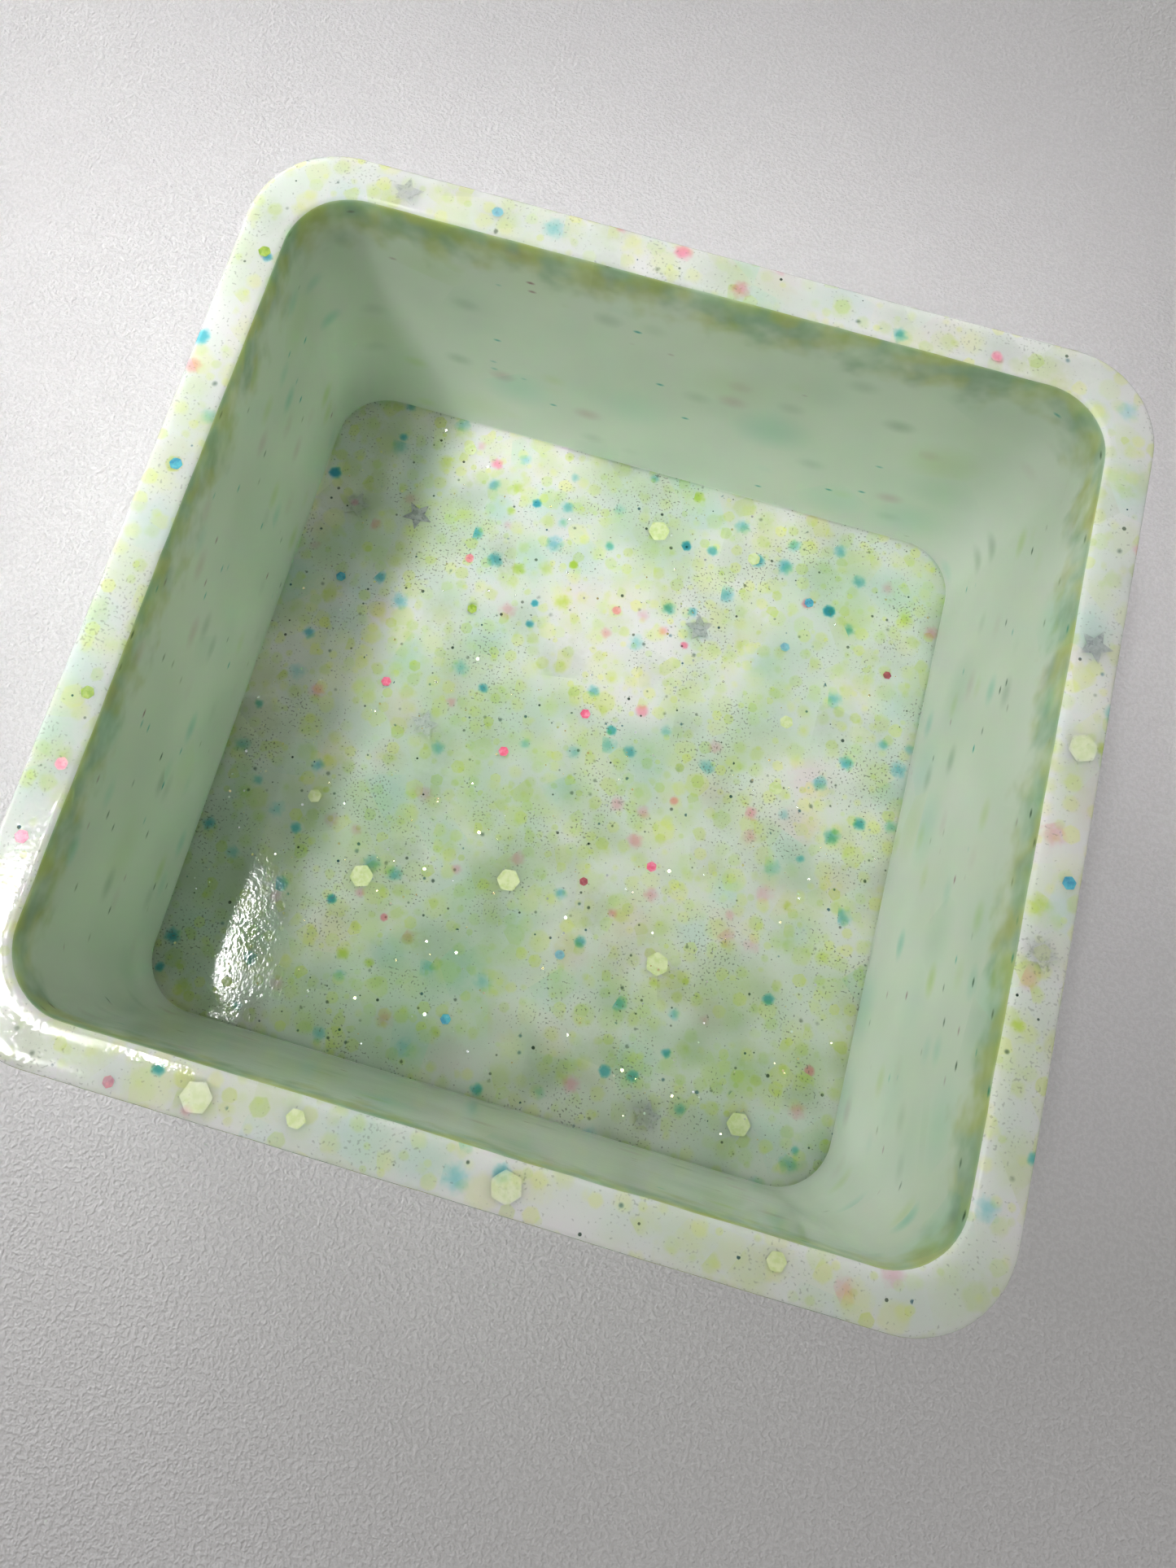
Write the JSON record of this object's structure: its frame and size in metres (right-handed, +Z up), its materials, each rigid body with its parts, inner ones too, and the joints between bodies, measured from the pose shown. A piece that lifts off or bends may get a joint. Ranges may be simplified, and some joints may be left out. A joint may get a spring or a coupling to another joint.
{
  "type": "resin casting mould",
  "caption": "Square open-topped silicone tray mould with rounded corners and glitter flakes set in its surface, for casting resin, soap or wax.",
  "frame": {"origin": "middle of the underside, on the surface the mould stands on", "axes": "+Z up out of the open cavity, +Y towards the far wall, +X towards the right wall"},
  "size_m": [0.085, 0.085, 0.042],
  "materials": {
    "silicone": "glossy, slightly translucent, milky mint",
    "silver_film": "satin silver-grey film",
    "lime_film": "glossy pearl lime film",
    "pink_film": "glossy neon pink film",
    "blue_film": "glossy blue-green film",
    "green_film": "glossy olive green film",
    "red_film": "glossy dark red film"
  },
  "bodies": {
    "root": {"mould_body": "silicone", "blue_dot_1": "blue_film", "blue_dot_2": "blue_film", "blue_dot_3": "blue_film", "blue_dot_4": "blue_film", "blue_dot_5": "blue_film", "blue_dot_6": "blue_film", "blue_dot_7": "blue_film", "blue_dot_8": "blue_film", "green_dot_1": "green_film", "green_dot_2": "green_film", "green_dot_3": "green_film", "green_dot_4": "green_film", "green_dot_5": "green_film", "large_lime_hexagon_1": "lime_film", "large_lime_hexagon_2": "lime_film", "large_lime_hexagon_3": "lime_film", "large_lime_hexagon_4": "lime_film", "large_lime_hexagon_5": "lime_film", "large_lime_hexagon_6": "lime_film", "large_lime_hexagon_7": "lime_film", "large_lime_hexagon_8": "lime_film", "medium_lime_hexagon_1": "lime_film", "medium_lime_hexagon_2": "lime_film", "medium_lime_hexagon_3": "lime_film", "medium_lime_hexagon_4": "lime_film", "medium_lime_hexagon_5": "lime_film", "medium_lime_hexagon_6": "lime_film", "medium_lime_hexagon_7": "lime_film", "pink_dot_1": "pink_film", "pink_dot_2": "pink_film", "pink_dot_3": "pink_film", "pink_dot_4": "pink_film", "pink_dot_5": "pink_film", "pink_dot_6": "pink_film", "pink_dot_7": "pink_film", "pink_dot_8": "pink_film", "pink_dot_9": "pink_film", "red_dot_1": "red_film", "red_dot_2": "red_film", "red_dot_3": "red_film", "silver_star_1": "silver_film", "silver_star_2": "silver_film", "silver_star_3": "silver_film", "silver_star_4": "silver_film", "silver_star_5": "silver_film", "small_silver_star_1": "silver_film", "small_silver_star_2": "silver_film", "small_silver_star_3": "silver_film"}
  },
  "joints": []
}
